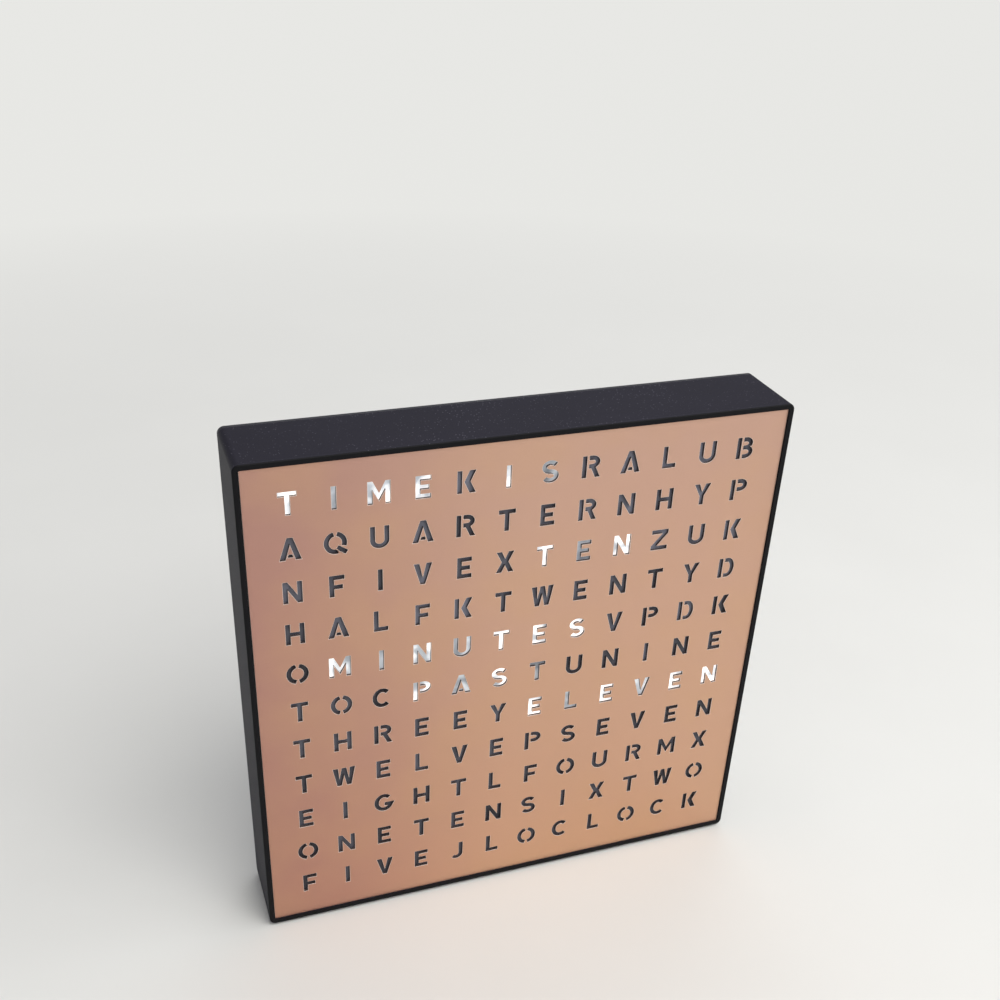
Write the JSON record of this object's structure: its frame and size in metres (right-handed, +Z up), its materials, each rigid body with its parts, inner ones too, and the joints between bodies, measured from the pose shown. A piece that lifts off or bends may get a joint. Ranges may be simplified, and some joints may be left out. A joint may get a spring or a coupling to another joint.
{
  "type": "word clock",
  "caption": "Square word clock: black case, copper letter plate lit from behind, battery bay, set keys, power switch, jack and keyhole on the back.",
  "frame": {"origin": "on the table under the middle of the clock, at the underside of the rubber feet", "axes": "+X to the right of the face, +Y from the face to the back, +Z up"},
  "size_m": [0.19, 0.03, 0.191],
  "materials": {
    "case_black": "fine-textured moulded black",
    "foot_rubber": "matt",
    "copper_plate": "satin, copper coloured",
    "tape": "matt foam",
    "diffuser": "frosted",
    "grid_black": "matt",
    "circuit_board": "solder mask",
    "lamp": "moulded white",
    "chip_black": "matt",
    "plated_steel": "nickel plated",
    "capacitor": "sleeved",
    "screw_zinc": "zinc plated",
    "screw_black": "black oxide",
    "cell_can": "plain sleeved can",
    "jack_black": "moulded",
    "button_grey": "satin",
    "wire_red": "insulation",
    "wire_black": "insulation",
    "header_white": "moulded",
    "cable_grey": "ribbon"
  },
  "bodies": {
    "clock_body": {"casing": "case_black", "rubber_feet": "foot_rubber", "face_plate": "copper_plate", "plate_tape": "tape", "diffuser_sheet": "diffuser", "light_grid": "grid_black", "led_board": "circuit_board", "leds": "lamp", "driver_chips": "chip_black", "control_chip": "chip_black", "clock_crystal": "plated_steel", "board_capacitors": "capacitor", "board_screws": "screw_zinc", "rear_cover": "case_black", "cover_screws": "screw_black", "battery_cells": "cell_can", "contact_negative": "plated_steel", "contact_link_left": "plated_steel", "contact_link_right": "plated_steel", "contact_positive": "plated_steel", "contact_springs": "plated_steel", "control_board": "circuit_board", "control_board_screws": "screw_zinc", "dc_jack_body": "jack_black", "dc_jack_pin": "plated_steel", "tact_switches": "chip_black", "power_switch_body": "plated_steel", "battery_lead_red": "wire_red", "battery_lead_black": "wire_black", "cable_headers": "header_white", "cable_plugs": "header_white", "board_cable": "cable_grey"},
    "battery_door": {"battery_door": "case_black"},
    "minute_key": {"minute_button": "button_grey", "minute_plunger": "chip_black"},
    "hour_key": {"hour_button": "button_grey", "hour_plunger": "chip_black"},
    "switch_lever": {"power_switch_knob": "button_grey"}
  },
  "joints": [
    {"name": "battery_door_hinge", "type": "hinge", "parent": "clock_body", "child": "battery_door", "pos_m": [0, 0.0132, 0.0388], "axis": [-1, 0, 0], "range_deg": [0, 70]},
    {"name": "minute_key_press", "type": "slide", "parent": "clock_body", "child": "minute_key", "axis": [0, -1, 0], "range_m": [0, 0.0006], "stiffness_N_per_m": 800},
    {"name": "hour_key_press", "type": "slide", "parent": "clock_body", "child": "hour_key", "axis": [0, -1, 0], "range_m": [0, 0.0006], "stiffness_N_per_m": 800},
    {"name": "power_switch_slide", "type": "slide", "parent": "clock_body", "child": "switch_lever", "axis": [0, 0, -1], "range_m": [0, 0.002]}
  ]
}
